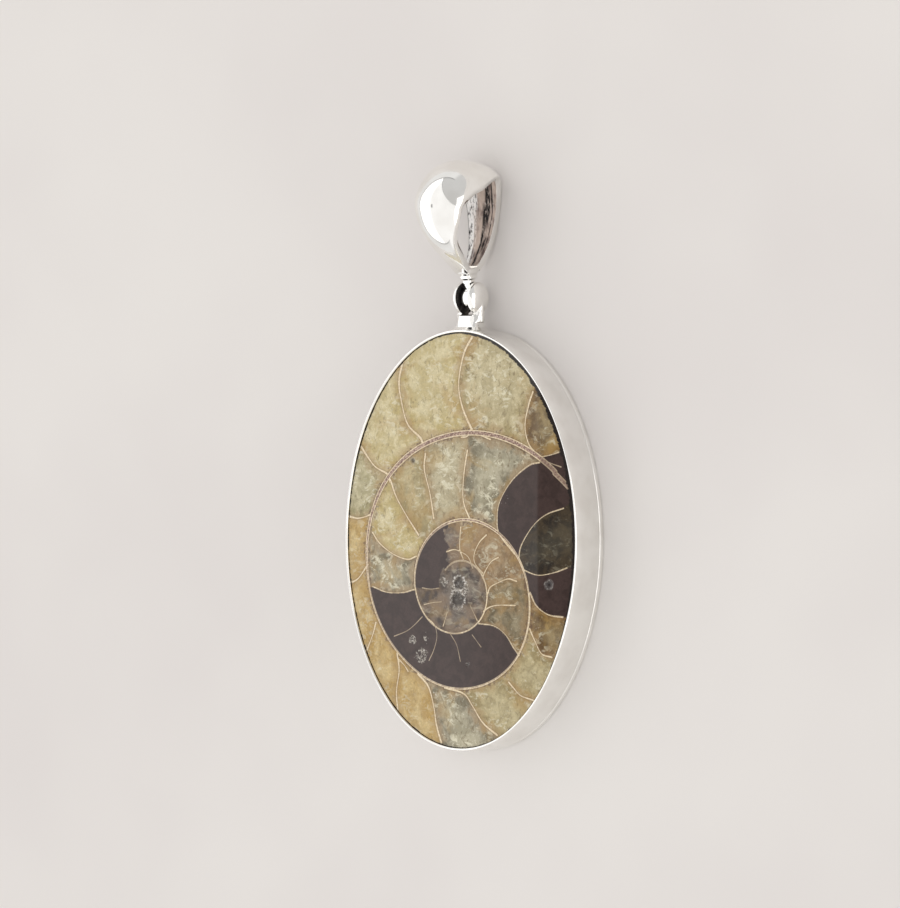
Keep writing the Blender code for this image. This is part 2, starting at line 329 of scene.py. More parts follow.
class Nodes:
    """A short way to write the nodes of a material, or of the world."""

    def __init__(self, name, world=None):
        owner = world or bpy.data.materials.new(name)
        owner.use_nodes = True
        self.material = owner
        self.tree = owner.node_tree
        self.shader = self.tree.nodes["Background" if world else "Principled BSDF"]

    def wire(self, value, socket):
        if isinstance(value, bpy.types.NodeSocket):
            self.tree.links.new(value, socket)
        else:
            socket.default_value = value

    def set(self, **values):
        for name, value in values.items():
            self.wire(value, self.shader.inputs[name.replace("_", " ")])

    def maths(self, operation, a, b=0.0, c=None):
        node = self.tree.nodes.new("ShaderNodeMath")
        node.operation = operation
        self.wire(a, node.inputs[0])
        self.wire(b, node.inputs[1])
        if c is not None:
            self.wire(c, node.inputs[2])
        return node.outputs[0]

    def mix(self, factor, a, b, blend="MIX"):
        node = self.tree.nodes.new("ShaderNodeMix")
        node.data_type = "RGBA"
        node.blend_type = blend
        self.wire(factor, node.inputs[0])
        self.wire(a, node.inputs[6])
        self.wire(b, node.inputs[7])
        return node.outputs[2]

    def blend(self, factor, a, b):
        node = self.tree.nodes.new("ShaderNodeMix")
        node.data_type = "FLOAT"
        self.wire(factor, node.inputs[0])
        self.wire(a, node.inputs[2])
        self.wire(b, node.inputs[3])
        return node.outputs[0]

    def smooth(self, value, low, high, out_low=0.0, out_high=1.0):
        node = self.tree.nodes.new("ShaderNodeMapRange")
        node.interpolation_type = "SMOOTHSTEP"
        self.wire(value, node.inputs["Value"])
        for socket, number in zip(node.inputs[1:5], (low, high, out_low, out_high)):
            self.wire(number, socket)
        return node.outputs[0]

    def attribute(self, name, output="Fac"):
        node = self.tree.nodes.new("ShaderNodeAttribute")
        node.attribute_name = name
        return node.outputs[output]

    def times(self, *values):
        """The product of several values."""
        product = values[0]
        for value in values[1:]:
            product = self.maths("MULTIPLY", product, value)
        return product

    def place(self, scale=(1, 1, 1), turn=(0, 0, 0)):
        """Object coordinates in millimetres, stretched and turned."""
        coords = self.tree.nodes.new("ShaderNodeTexCoord")
        mapping = self.tree.nodes.new("ShaderNodeMapping")
        self.tree.links.new(coords.outputs["Object"], mapping.inputs["Vector"])
        mapping.inputs["Scale"].default_value = [part / MM for part in scale]
        mapping.inputs["Rotation"].default_value = turn
        return mapping.outputs[0]

    def noise(self, place, scale, detail=3.0, roughness=0.55, distortion=0.0):
        node = self.tree.nodes.new("ShaderNodeTexNoise")
        self.tree.links.new(place, node.inputs["Vector"])
        node.inputs["Scale"].default_value = scale
        node.inputs["Detail"].default_value = detail
        node.inputs["Roughness"].default_value = roughness
        node.inputs["Distortion"].default_value = distortion
        return node.outputs["Fac"]

    def dot_distance(self, place, scale):
        """How far the nearest of many scattered dots is."""
        node = self.tree.nodes.new("ShaderNodeTexVoronoi")
        self.tree.links.new(place, node.inputs["Vector"])
        node.inputs["Scale"].default_value = scale
        return node.outputs["Distance"]

    def bump(self, height, strength, distance):
        node = self.tree.nodes.new("ShaderNodeBump")
        node.inputs["Strength"].default_value = strength
        node.inputs["Distance"].default_value = distance * MM
        self.wire(height, node.inputs["Height"])
        return node.outputs[0]


def silver_material(name, scratch=0.5, roughness=0.06, dents=0.0):
    """Polished silver with faint hairline scratches, cast dents and small changes of gloss."""
    n = Nodes(name)
    soft = n.noise(n.place(), 0.35, 2.0)
    fine = n.noise(n.place((1, 9, 1), (0.3, 0.5, 0.9)), 3.0, 4.0)
    cross = n.noise(n.place((8, 1, 2), (0.9, 0.2, 0.4)), 2.4, 4.0)
    tint = n.mix(n.smooth(soft, 0.35, 0.7), linear((250, 249, 246)), linear((240, 238, 234)))
    fine = n.maths("MULTIPLY_ADD", n.noise(n.place(), 1.3, 1.0), dents, fine)
    n.set(
        Base_Color=tint,
        Metallic=1.0,
        Roughness=n.blend(n.smooth(soft, 0.3, 0.75), roughness, roughness + 0.05),
        Normal=n.bump(n.maths("ADD", fine, cross), 0.08 * scratch, 0.01),
    )
    return n.material


def oxidised_material(name):
    """The unpolished inside of the bail: bare, brown and black zones that run along the strap."""
    n = Nodes(name)
    across = n.attribute("strap_across")
    along = n.attribute("strap_along")
    combine = n.tree.nodes.new("ShaderNodeCombineXYZ")
    n.wire(n.times(across, 1.6), combine.inputs[0])
    n.wire(n.times(along, 0.1), combine.inputs[1])
    wander = n.noise(combine.outputs[0], 1.0, 3.0, 0.5, 0.2)
    zone = n.maths("ADD", across, n.smooth(wander, 0.3, 0.7, -0.22, 0.22))
    fleck = n.noise(n.place((2.2, 0.7, 0.7)), 2.4, 5.0, 0.7, 0.6)
    cloud = n.noise(n.place((1.3, 0.6, 0.6)), 0.8, 3.0, 0.6)

    # Across the strap from its -X edge: a black rim, rough bare metal, brown, black streaks, brown
    brown = n.mix(n.smooth(cloud, 0.38, 0.6), linear((112, 94, 88)), linear((196, 178, 166)))
    brown = n.mix(n.smooth(fleck, 0.58, 0.68), brown, linear((216, 206, 198)))
    rough = n.mix(n.smooth(fleck, 0.4, 0.5), linear((58, 52, 52)), linear((244, 241, 238)))
    colour = n.mix(n.smooth(zone, -0.2, -0.45), brown, rough)
    streak = n.maths("ABSOLUTE", n.maths("SUBTRACT", zone, 0.2))
    second = n.maths("ABSOLUTE", n.maths("SUBTRACT", zone, 0.5))
    black = n.maths("MAXIMUM", n.smooth(streak, 0.16, 0.07), n.smooth(second, 0.1, 0.04))
    black = n.times(black, n.smooth(fleck, 0.62, 0.5))
    black = n.maths("MAXIMUM", black, n.smooth(across, -0.9, -0.95))
    colour = n.mix(black, colour, linear((24, 19, 18)))
    n.set(
        Base_Color=colour,
        Metallic=0.6,
        Roughness=0.4,
        Normal=n.bump(n.maths("SUBTRACT", fleck, black), 0.7, 0.08),
    )
    return n.material


def slot_tarnish_and_shade_material(name):
    """Silver nearly black in the slot between the lugs: some tarnish, with painted shade of that recess over
    it.
    """
    n = Nodes(name)
    worn = n.noise(n.place(), 1.6, 4.0, 0.6)
    n.set(
        Base_Color=n.mix(n.smooth(worn, 0.45, 0.7), linear((30, 26, 25)), linear((96, 88, 84))),
        Metallic=0.5,
        Roughness=0.45,
        Normal=n.bump(worn, 0.4, 0.03),
    )
    return n.material


def line_cover(n, name):
    """How far past a drawn line's edge each point lies, in millimetres."""
    side = n.maths("ABSOLUTE", n.attribute(name + "_side"))
    half = n.attribute(name + "_half")
    away = n.maths("SUBTRACT", n.attribute(name + "_away"), 0.05)
    return n.maths("SUBTRACT", n.maths("MAXIMUM", side, away), half)


def stone_material():
    """Calcite and sediment fillings between cream walls, cut flat and polished."""
    n = Nodes("ammonite_stone")
    here = n.place()
    broad = n.noise(here, 0.3, 3.0, 0.6, 0.5)
    clouds = n.noise(here, 0.75, 4.0, 0.55, 0.5)
    milk = n.noise(here, 0.42, 2.0, 0.5, 0.6)
    grain = n.noise(here, 5.5, 4.0, 0.7)
    sparkle = n.noise(here, 3.6, 3.0, 0.6, 1.0)
    fibre = n.noise(n.place((1, 1.6, 1), (0, 0, 0.6)), 0.95, 6.0, 0.66, 1.2)
    splinter = n.noise(n.place((1.7, 1, 1), (0, 0, 0.3)), 1.15, 6.0, 0.68, 1.4)
    crystals = n.attribute("fill_crystal")
    mud = n.attribute("fill_mud")
    wall = line_cover(n, "wall")
    septum = line_cover(n, "septum")
    line = n.maths("MINIMUM", wall, septum)
    calcite = n.smooth(crystals, 0.1, 0.5)

    # Fillings: soft clouds of two tones with a fine mottle, paler in the middle of each chamber
    low, high = n.attribute("tone_low", "Color"), n.attribute("tone_high", "Color")
    tone = n.mix(n.smooth(clouds, 0.39, 0.59), low, high)
    mottle = n.smooth(sparkle, 0.3, 0.7, 0.86, 1.12)
    shade = n.tree.nodes.new("ShaderNodeCombineColor")
    for socket in shade.inputs:
        n.wire(mottle, socket)
    tone = n.mix(1.0, tone, shade.outputs[0], "MULTIPLY")
    amber = n.times(n.smooth(broad, 0.5, 0.64), calcite, 0.5)
    tone = n.mix(amber, tone, linear((168, 136, 76)))
    tone = n.mix(n.times(n.smooth(line, 0.4, 2.2), crystals, 0.3), tone, linear((212, 204, 172)))

    # Milky fibrous calcite with a few bright flecks that are painted glints, and clear darker spots between
    milky = n.times(n.smooth(fibre, 0.5, 0.6), n.smooth(milk, 0.42, 0.56), crystals)
    tone = n.mix(n.times(milky, 0.75), tone, linear((222, 216, 190)))
    # Painted glints: near-white flecks on the crystalline fillings
    fleck = n.times(n.smooth(sparkle, 0.58, 0.74), n.smooth(splinter, 0.48, 0.6), crystals, 0.7)
    tone = n.mix(fleck, tone, linear((236, 233, 220)))
    clear = n.times(n.smooth(splinter, 0.46, 0.36), crystals, 0.6)
    tone = n.mix(clear, tone, linear((98, 80, 46)))

    # Brown borders along the lines, amber that soaked in from them, and a dark crust in places
    soak = n.maths("ADD", line, n.smooth(clouds, 0.3, 0.7, 0.45, -0.45))
    tone = n.mix(n.times(n.smooth(soak, 0.85, 0.0), calcite, 0.45), tone, linear((148, 114, 66)))
    tone = n.mix(n.times(n.smooth(line, 0.16, 0.02), calcite, 0.4), tone, linear((112, 86, 56)))
    crust = n.times(n.smooth(n.maths("ADD", wall, n.smooth(fibre, 0.3, 0.7, 0.3, -0.3)), 0.3, 0.05), calcite)
    tone = n.mix(n.times(crust, n.smooth(splinter, 0.56, 0.44), 0.7), tone, linear((86, 62, 48)))
    specks = n.smooth(n.dot_distance(here, 2.1), 0.1, 0.04)
    specks = n.times(specks, n.smooth(broad, 0.58, 0.66), mud)
    tone = n.mix(specks, tone, linear((150, 140, 134)))

    # Walls and septa: pale at their edges, pinkish and grainy inside the thick wall
    cream = n.mix(n.smooth(grain, 0.36, 0.66), linear((206, 184, 146)), linear((236, 220, 190)))
    pink = n.mix(n.smooth(grain, 0.4, 0.6), linear((112, 84, 72)), linear((190, 164, 146)))
    core = n.smooth(wall, -0.06, -0.1)
    shell = n.mix(core, cream, pink)
    strength = n.attribute("line_strength")
    faint = n.times(n.maths("SUBTRACT", 1.0, strength), 0.5)
    dim = n.maths("MAXIMUM", n.times(mud, 0.6), faint)
    shell = n.mix(dim, shell, linear((126, 106, 92)))
    on_line = n.times(n.smooth(line, 0.03, -0.02), strength)
    colour = n.mix(on_line, tone, shell)

    # Druses of tiny crystals, then pits, the pale rims round them, and near-black along the rim: a thin dark
    # joint, widened at the upper right by painted shadow of the lip
    druse = n.attribute("druse")
    druse = n.smooth(n.maths("ADD", druse, n.smooth(clouds, 0.3, 0.7, -0.2, 0.2)), 0.35, 0.6)
    glass = n.mix(n.smooth(grain, 0.44, 0.54), linear((44, 36, 33)), linear((176, 168, 156)))
    glass = n.mix(n.smooth(grain, 0.58, 0.64), glass, linear((238, 235, 228)))
    colour = n.mix(n.times(druse, n.smooth(sparkle, 0.4, 0.5), 0.85), colour, glass)
    pit = n.attribute("pit")
    ring = n.attribute("ring")
    ring_white = n.mix(n.smooth(grain, 0.42, 0.58), linear((96, 86, 80)), linear((232, 228, 220)))
    colour = n.mix(n.times(pit, 0.75), colour, linear((38, 32, 30)))
    colour = n.mix(n.times(ring, n.smooth(sparkle, 0.36, 0.5), 0.85), colour, ring_white)
    # Painted shadow of the lip along the rim, over a thin dark joint, with a ragged inner edge
    ragged = n.smooth(fibre, 0.3, 0.7, -0.9, 0.9)
    rim_joint_and_shadow = n.smooth(n.maths("ADD", n.attribute("rim_joint_and_shadow"), ragged), 0.0, 1.0)
    colour = n.mix(rim_joint_and_shadow, colour, linear((30, 23, 19)))

    n.set(
        Base_Color=colour,
        Specular_IOR_Level=0.0,
        Roughness=n.blend(pit, 0.3, 0.5),
        Coat_Weight=1.0,
        Coat_Roughness=0.02,
        Normal=n.bump(n.maths("ADD", grain, pit), 0.04, 0.02),
    )
    return n.material


# Stone


def catmull(points, per_span):
    """A smooth line through points given as an array."""
    points = np.asarray(points, float)
    ends = np.vstack([2 * points[:1] - points[1:2], points, 2 * points[-1:] - points[-2:-1]])
    t = np.linspace(0, 1, per_span, endpoint=False)[:, None]
    spans = []
    for a, b, c, d in zip(ends, ends[1:], ends[2:], ends[3:]):
        spans.append(
            0.5 * (2 * b + (c - a) * t + (2 * a - 5 * b + 4 * c - d) * t**2
                   + (3 * b - a - 3 * c + d) * t**3)
        )
    return np.vstack(spans + [points[-1:]])


def wall_radius(angle):
    """Radius of the spiral wall at an angle in degrees that grows inwards, turn after turn."""
    angle = np.asarray(angle, float)
    angles = WALL_START_DEG + WALL_STEP_DEG * np.arange(len(WALL_RADII))
    smooth = catmull(np.column_stack([angles, np.log(WALL_RADII)]), 8)
    turns = np.where(angle < angles[0], np.ceil((angles[0] - angle) / 360), 0.0)
    turns -= np.where(angle > angles[-1], np.ceil((angle - angles[-1]) / 360), 0.0)
    inside = angle + 360 * turns
    return np.exp(np.interp(inside, smooth[:, 0], smooth[:, 1])) * WHORL_GROWTH**turns


def tube_place(points):
    """(angle, share) of points on the oval: where along the coiled tube, and how far across it."""
    offset = points - np.array(SHELL_MIDDLE)
    radius = np.maximum(np.hypot(offset[:, 0], offset[:, 1]), 0.02)
    turn = np.degrees(np.arctan2(offset[:, 1], offset[:, 0])) % 360
    angle = turn - 360
    for whorl in range(5):
        step = turn + 360 * (whorl - 1)
        angle = np.where(radius < wall_radius(step), step, angle)
    outer, inner = wall_radius(angle), wall_radius(angle + 360)
    share = (np.log(radius) - np.log(inner)) / (np.log(outer) - np.log(inner))
    return angle, share


def septum_place(line):
    """The same for a septum, whose angle doesn't jump where the line meets a wall."""
    offset = line - np.array(SHELL_MIDDLE)
    turn = np.degrees(np.unwrap(np.arctan2(offset[:, 1], offset[:, 0])))
    middle = tube_place(line[len(line) // 2 : len(line) // 2 + 1])[0][0]
    angle = turn + 360 * np.round((middle - turn[len(turn) // 2]) / 360)
    radius = np.hypot(offset[:, 0], offset[:, 1])
    outer, inner = wall_radius(angle), wall_radius(angle + 360)
    return angle, (np.log(radius) - np.log(inner)) / (np.log(outer) - np.log(inner))


def nearest_line(lines, points):
    """For each point: how far the nearest line is, the same with a sign for its side, and the
    line's half-width there. Each line is (points, half-width or half-widths)."""
    count = sum(len(line) for line, _ in lines)
    tree = kdtree.KDTree(count)
    spots = np.vstack([line for line, _ in lines])
    headings = np.vstack([np.gradient(line, axis=0) for line, _ in lines])
    headings /= np.hypot(*headings.T)[:, None]
    halves = np.concatenate([np.broadcast_to(half, len(line)) for line, half in lines])
    for number, (x, y) in enumerate(spots):
        tree.insert((x, y, 0.0), number)
    tree.balance()
    found = [tree.find((x, y, 0.0)) for x, y in points]
    index = np.array([hit[1] for hit in found])
    away = np.array([hit[2] for hit in found])
    offset = points - spots[index]
    side = headings[index][:, 0] * offset[:, 1] - headings[index][:, 1] * offset[:, 0]
    return away, side, halves[index]


def resampled(line, spacing=0.03):
    steps = np.hypot(*np.diff(line, axis=0).T)
    along = np.concatenate([[0], np.cumsum(steps)])
    at = np.linspace(0, along[-1], max(int(along[-1] / spacing), 2))
    return np.column_stack([np.interp(at, along, line[:, k]) for k in (0, 1)]), at / along[-1]


def wall_line():
    """The spiral wall's middle line and its half-widths, thinner towards the middle."""
    last = WALL_START_DEG + WALL_STEP_DEG * (len(WALL_RADII) - 1)
    angle = np.arange(22.0, last, 0.25)
    radius = wall_radius(angle)
    turn = np.radians(angle)
    line = np.column_stack([radius * np.cos(turn), radius * np.sin(turn)])
    line, _ = resampled(line + np.array(SHELL_MIDDLE))
    size = np.hypot(*(line - np.array(SHELL_MIDDLE)).T)
    high = line[:, 1] - SHELL_MIDDLE.y
    half = 0.045 + 0.005 * size + 0.13 * np.clip(high / 12, 0, 1)
    return line, half


def chamber_fillings(points):
    """The name of each point's filling, from the septa that it lies between."""
    angle, share = tube_place(points)
    wander = 4 * np.sin(2.6 * points[:, 1]) + 2 * np.sin(7.1 * points[:, 1] + 3.3 * points[:, 0])
    order = []
    for line, half, _ in SEPTA:
        place, across = septum_place(catmull(line, 6))
        sort = np.argsort(across)
        order.append(np.interp(share, across[sort], place[sort]) + (wander if half == 0 else 0))
    names = [filling for _, _, filling in SEPTA] + [OLDEST_FILL]
    return np.array(names)[np.sum([angle > edge for edge in order], axis=0)]


def surface_marks(points):
    """(height, pit, ring, druse): hollows of the polished face, and where they are dark or pale."""
    height = np.zeros(len(points))
    pit = np.zeros(len(points))
    ring = np.zeros(len(points))
    wobble = 0.06 * np.sin(9 * points[:, 0] + 3 * points[:, 1]) + 0.05 * np.sin(13 * points[:, 1])
    for centre, radius in RING_CAVITIES:
        away = np.hypot(*(points - np.array(centre)).T) + wobble
        rim = np.exp(-(((away - radius) / (0.6 * RING_GROOVE)) ** 2))
        inner = np.clip((radius - 0.1 - away) / 0.12, 0, 1)
        height -= PIT_DEPTH * inner - 0.02 * rim
        pit = np.maximum(pit, inner)
        ring = np.maximum(ring, rim)
    for centre, radius in PITS:
        away = np.hypot(*(points - np.array(centre)).T) + 0.6 * wobble
        inner = np.clip((radius - away) / (0.4 * radius), 0, 1)
        height -= 0.7 * PIT_DEPTH * inner
        pit = np.maximum(pit, inner)
        rim = np.exp(-(((away - radius) / 0.07) ** 2))
        ring = np.maximum(ring, 0.3 * rim)
    druse = np.zeros(len(points))
    for centre, radius in DRUSES:
        away = np.hypot(*(points - np.array(centre)).T) + wobble
        druse = np.maximum(druse, np.exp(-((away / radius) ** 2)))
    height -= 0.3 * PIT_DEPTH * druse * (0.5 + 0.5 * np.sin(11 * points[:, 0]) * np.sin(13 * points[:, 1]))
    return height, pit, ring, druse


def rim_joint_and_painted_shadow(points, turn, reach):
    """The thin dark joint where the slice meets the lip, and the painted shadow of the lip that widens it at
    the upper right: over 0.5 inside it.
    """
    width = 0.05 + 0.42 * np.clip(np.cos(turn - 0.5), 0, 1) ** 2
    inside = (1 - reach) * np.hypot(*points.T) / np.maximum(reach, 0.01)
    return np.clip((width - inside) / (0.04 + 0.25 * width) + 0.5, -3, 3)


def grid_faces(cells):
    row = cells + 1
    return [
        (j * row + i, j * row + i + 1, (j + 1) * row + i + 1, (j + 1) * row + i)
        for j in range(cells)
        for i in range(cells)
    ]


def grid_edge(cells):
    """The numbers of the points round a square grid's edge."""
    row = cells + 1
    edge = list(range(cells))
    edge += [cells + j * row for j in range(cells)]
    edge += [cells * row + cells - i for i in range(cells)]
    edge += [(cells - j) * row for j in range(cells)]
    return edge


def drawn_lines():
    """The septa and the other veins as (points, half-widths), thicker at their ends."""
    lines = []
    for septum in SEPTA + EXTRA_VEINS:
        if septum[1] > 0:
            path, along = resampled(catmull(septum[0], 8))
            lines.append((path, septum[1] * (0.75 + 0.25 * np.cos(2 * math.pi * along))))
    return lines


def add_values(stone, values, names):
    """Writes the values and the two tones of each point's filling as attributes."""
    for name, data in values.items():
        layer = stone.data.attributes.new(name, "FLOAT", "POINT")
        layer.data.foreach_set("value", np.asarray(data, dtype=np.float32))
    for number, title in enumerate(("tone_low", "tone_high")):
        layer = stone.data.attributes.new(title, "FLOAT_COLOR", "POINT")
        tones = [linear(FILLINGS[name][number]) for name in names]
        layer.data.foreach_set("color", np.asarray(tones, dtype=np.float32).ravel())


def make_stone():
    """The slice. Its face is a fine square grid bent into the oval, with its rim sides below."""
    cells = 280
    line = np.linspace(-1, 1, cells + 1)
    u, v = np.meshgrid(line, line, indexing="xy")
    disc_x, disc_y = u * np.sqrt(1 - v**2 / 2), v * np.sqrt(1 - u**2 / 2)
    turn = np.arctan2(disc_y, disc_x).ravel()
    reach = np.hypot(disc_x, disc_y).ravel()
    rim = np.array([oval_point(t, RIM_INSET) for t in turn])
    points = rim * reach[:, None]
    height, pit, ring, druse = surface_marks(points)
    face_z = RIM_Z + CROWN * (1 - reach**2) + height
    verts = [(x, y + OVAL_Y, z) for (x, y), z in zip(points, face_z)]
    faces = grid_faces(cells)
    edge = grid_edge(cells)
    girdle = BAND + GIRDLE_PLAY
    below = (
        (RIM_INSET - 0.02, RIM_Z - 0.03),
        (girdle + 0.01, GIRDLE_Z + 0.06),
        (girdle, GIRDLE_Z),
        (girdle, STONE_BOTTOM + STONE_CHAMFER),
        (girdle + STONE_CHAMFER, STONE_BOTTOM),
    )
    start = len(verts)
    for inset, z in below:
        for k in edge:
            x, y = oval_point(turn[k], inset)
            verts.append((x, y + OVAL_Y, z))
    size = len(edge)
    for i in range(size):
        j = (i + 1) % size
        faces.append((edge[j], edge[i], start + i, start + j))
    for k in range(len(below) - 1):
        low, high = start + k * size, start + (k + 1) * size
        faces += [(low + (i + 1) % size, low + i, high + i, high + (i + 1) % size) for i in range(size)]
    faces.append(tuple(range(start + (len(below) - 1) * size, start + len(below) * size)))
    stone = mesh_of("ammonite_slice", verts, faces, smooth_angle=40)
    outward(stone)

    flat = np.array([(x, y - OVAL_Y) for x, y, _ in verts])
    names = chamber_fillings(flat)
    radius = np.hypot(*(flat - np.array(SHELL_MIDDLE)).T)
    below_face = np.zeros(len(verts) - len(points))
    values = {
        "fill_crystal": [FILLINGS[name][2] for name in names],
        "fill_mud": names == "mud",
        "line_strength": np.clip((radius - 1.4) / 2.0, 0.25, 1.0),
        "pit": np.concatenate([pit, below_face]),
        "ring": np.concatenate([ring, below_face]),
        "druse": np.concatenate([druse, below_face]),
        # Near-black along the rim: a thin dark joint, and painted shadow of the lip at the upper right
        "rim_joint_and_shadow": np.concatenate([rim_joint_and_painted_shadow(points, turn, reach), below_face + 3]),
    }
    for title, group in (("wall", [wall_line()]), ("septum", drawn_lines())):
        away, side, half = nearest_line(group, flat)
        values.update({title + "_away": away, title + "_side": side, title + "_half": half})
    add_values(stone, values, names)
    stone.data.materials.append(stone_material())
    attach(stone, "setting")
    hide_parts("ammonite")


# Silver


def make_bezel(material):
    """The band, its shoulder burnished in over the slice."""
    wander = hand_wander(0.012)
    bottom = PLATE_TOP + SOLDER_GAP
    shoulder_z = TOP_Z - SHOULDER_DROP
    profile = [(0.0, bottom), (0.0, 0.5 * (bottom + shoulder_z))]
    for step in range(17):
        turn = math.pi / 2 * step / 16
        profile.append((SHOULDER_REACH * (1 - math.cos(turn)), shoulder_z + SHOULDER_DROP * math.sin(turn)))
    profile += [(0.23, TOP_Z - 0.006), (0.28, TOP_Z - 0.03), (0.315, TOP_Z - 0.07), (LIP_REACH, TOP_Z - 0.12)]
    profile += [(LIP_REACH, TOP_Z - 0.2), (0.325, TOP_Z - 0.4), (BAND, TOP_Z - 0.6), (BAND, bottom)]
    rings = []
    for inset, z in profile:
        share = min(max((z - bottom) / (shoulder_z - bottom), 0.0), 1.0)
        rings.append(oval_ring(inset, z, faded(wander, share)))
    bezel = loft("bezel_band", rings, closed=True, smooth_angle=60)
    bezel.data.materials.append(material)
    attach(bezel, "setting")
    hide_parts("bezel")


def make_plate(material):
    """The closed back, its edge rounded and filed flush with the band."""
    corner = PLATE_CORNER
    outer = oval_ring(corner, 0.0)
    rings = []
    for scale in (0.02, 0.3, 0.6, 0.9):
        rings.append([(x * scale, (y - OVAL_Y) * scale + OVAL_Y, z) for x, y, z in outer])
    for step in range(7):
        turn = math.pi / 2 * step / 6
        rings.append(oval_ring(corner * (1 - math.sin(turn)), corner * (1 - math.cos(turn))))
    rings.append(oval_ring(0.0, PLATE_TOP - 0.02))
    rings.append(oval_ring(0.03, PLATE_TOP))
    rings.append(oval_ring(BAND, PLATE_TOP))
    plate = loft("back_sheet", rings, smooth_angle=60)
    plate.data.materials.append(material)
    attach(plate, "setting")
    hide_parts("back_plate")


def circle(radius, steps=64):
    turns = [2 * math.pi * k / steps for k in range(steps)]
    return [(radius * math.cos(turn), radius * math.sin(turn)) for turn in turns]


def squarish(half_a, half_b, power, steps):
    """Points round a superellipse."""
    points = []
    for turn in [2 * math.pi * k / steps for k in range(steps)]:
        a, b = math.cos(turn), math.sin(turn)
        size = (abs(a) ** power + abs(b) ** power) ** (1 / power)
        points.append((half_a * a / size, half_b * b / size))
    return points


def at_hinge(rings):
    """Rings of (x, up, depth) from the pin, in the frame."""
    return [[(x, HINGE.y + up, HINGE.z + depth) for x, up, depth in ring] for ring in rings]


def lug(side):
    """A domed disc with a tail that narrows to the foot, on one side of the knuckle."""
    radius, drop, foot = 1.55, 2.3, 0.82
    inner_x, side_x, dome, dome_inset = 0.65, 0.8, 0.72, 1.4

    def outline(inset):
        reach = math.hypot(drop, foot)
        tangent = math.pi / 2 + math.acos(radius / reach) - math.atan2(drop, foot)
        first, last = -math.pi / 2 - tangent, math.pi / 2 + tangent
        points = [(-drop, -foot + inset)]
        for step in range(65):
            turn = first + (last - first) * step / 64
            points.append(((radius - inset) * math.cos(turn), (radius - inset) * math.sin(turn)))
        return points + [(-drop, foot - inset)]

    sections = [(inner_x, 0.06), (inner_x + 0.04, 0.0)]
    for step in range(9):
        turn = math.pi / 2 * step / 9
        sections.append((side_x + dome * math.sin(turn), dome_inset * (1 - math.cos(turn))))
    rings = [[(side * x, up, depth) for up, depth in outline(inset)] for x, inset in sections]
    return loft("lug", at_hinge(rings))


def make_fork(material, slot):
    """Two lugs on one foot, the slot between them dark with painted shade over some tarnish, and solder drawn
    out onto the band.
    """
    sections = []
    for up, half_x, half_z, follow in (
        (-3.2, 1.95, 1.35, 1.0), (-2.99, 1.9, 1.32, 1.0), (-2.9, 1.6, 1.2, 0.8), (-2.78, 1.36, 1.06, 0.5),
        (-2.55, 1.2, 0.95, 0.1), (-2.3, 1.15, 0.88, 0.0), (-2.05, 1.13, 0.84, 0.0), (-1.75, 1.13, 0.8, 0.0),
        (-1.6, 1.1, 0.7, 0.0),
    ):
        ring = []
        for x, z in squarish(half_x, half_z, 5, 64):
            fall = HALF_Y * (1 - math.sqrt(1 - (x / HALF_X) ** 2))
            ring.append((x, up - follow * fall, z))
        sections.append(ring)
    foot = loft("foot", at_hinge(sections))
    fork = merged("hinge_fork_cast", [lug(1), lug(-1), foot])
    cast_in_one(fork, 0.045, 6)
    fork.data.materials.append(material)
    fork.data.materials.append(slot)
    # Faces in the slot get the near-black silver: painted shade of the recess, over some tarnish
    for face in fork.data.polygons:
        x, y, _ = face.center / MM
        if abs(x) < SLOT_HALF_X and y > HINGE.y - SLOT_DROP:
            face.material_index = 1
    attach(fork, "setting")
    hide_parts("hinge_fork")


def make_pin(material):
    """The pin, its ends filed to low domes."""
    sections = ((1.5, 0.08), (1.49, 0.16), (1.47, 0.2), (1.4, 0.22))
    profile = [(-x, r) for x, r in sections] + [(x, r) for x, r in reversed(sections)]
    rings = [[(x, up, depth) for up, depth in circle(r, 32)] for x, r in profile]
    pin = loft("hinge_pin_ends", at_hinge(rings), smooth_angle=50)
    pin.data.materials.append(material)
    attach(pin, "setting")
    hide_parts("hinge_pin")


def leaning(up, depth):
    """(y, z) in the frame of a point of the bail, which leans forward so its back is on the surface."""
    y = HINGE.y + up * math.cos(BAIL_LEAN) - depth * math.sin(BAIL_LEAN)
    z = HINGE.z + up * math.sin(BAIL_LEAN) + depth * math.cos(BAIL_LEAN)
    return y, z


def bail_crown(steps):
    """The middle line of the bail's outer face, up its front, over its top and down its back."""
    points = []
    for i in range(4):
        start, end = Vector(BAIL_KNOTS[i]), Vector(BAIL_KNOTS[i + 1])
        stretch = interpolate_bezier(
            start, start + Vector(BAIL_LEAVE[i]), end + Vector(BAIL_ARRIVE[i]), end, steps + 1
        )
        points += stretch if i == 3 else stretch[:-1]
    return np.array(points)


def station_value(values, place):
    spline = catmull(np.column_stack([np.linspace(0, 1, len(values)), values]), 16)
    return np.interp(place, spline[:, 0], spline[:, 1])


def strap_points(crown, place, angles):
    """Points across and along the strap's outer face, then as many on its inner face."""
    along = np.gradient(crown, axis=0)
    along /= np.hypot(*along.T)[:, None]
    out = np.column_stack([-along[:, 1], along[:, 0]])
    width = station_value(STRAP_HALF_WIDTHS, place)
    droop = station_value(STRAP_DROOPS, place)
    points = []
    for depth in (0.0, 1.0):
        for k in range(len(crown)):
            for angle in angles:
                share = math.sin(angle) / math.sin(STRAP_EDGE)
                lean_x = math.sin(angle) * 0.55 * min(droop[k], 1.0)
                sink = droop[k] * (1 - math.cos(angle)) + depth * BAIL_SHEET * math.sqrt(1 - lean_x**2)
                x = width[k] * share - depth * BAIL_SHEET * lean_x
                up, back = crown[k] - out[k] * sink
                points.append((x, *leaning(up, back)))
    return points


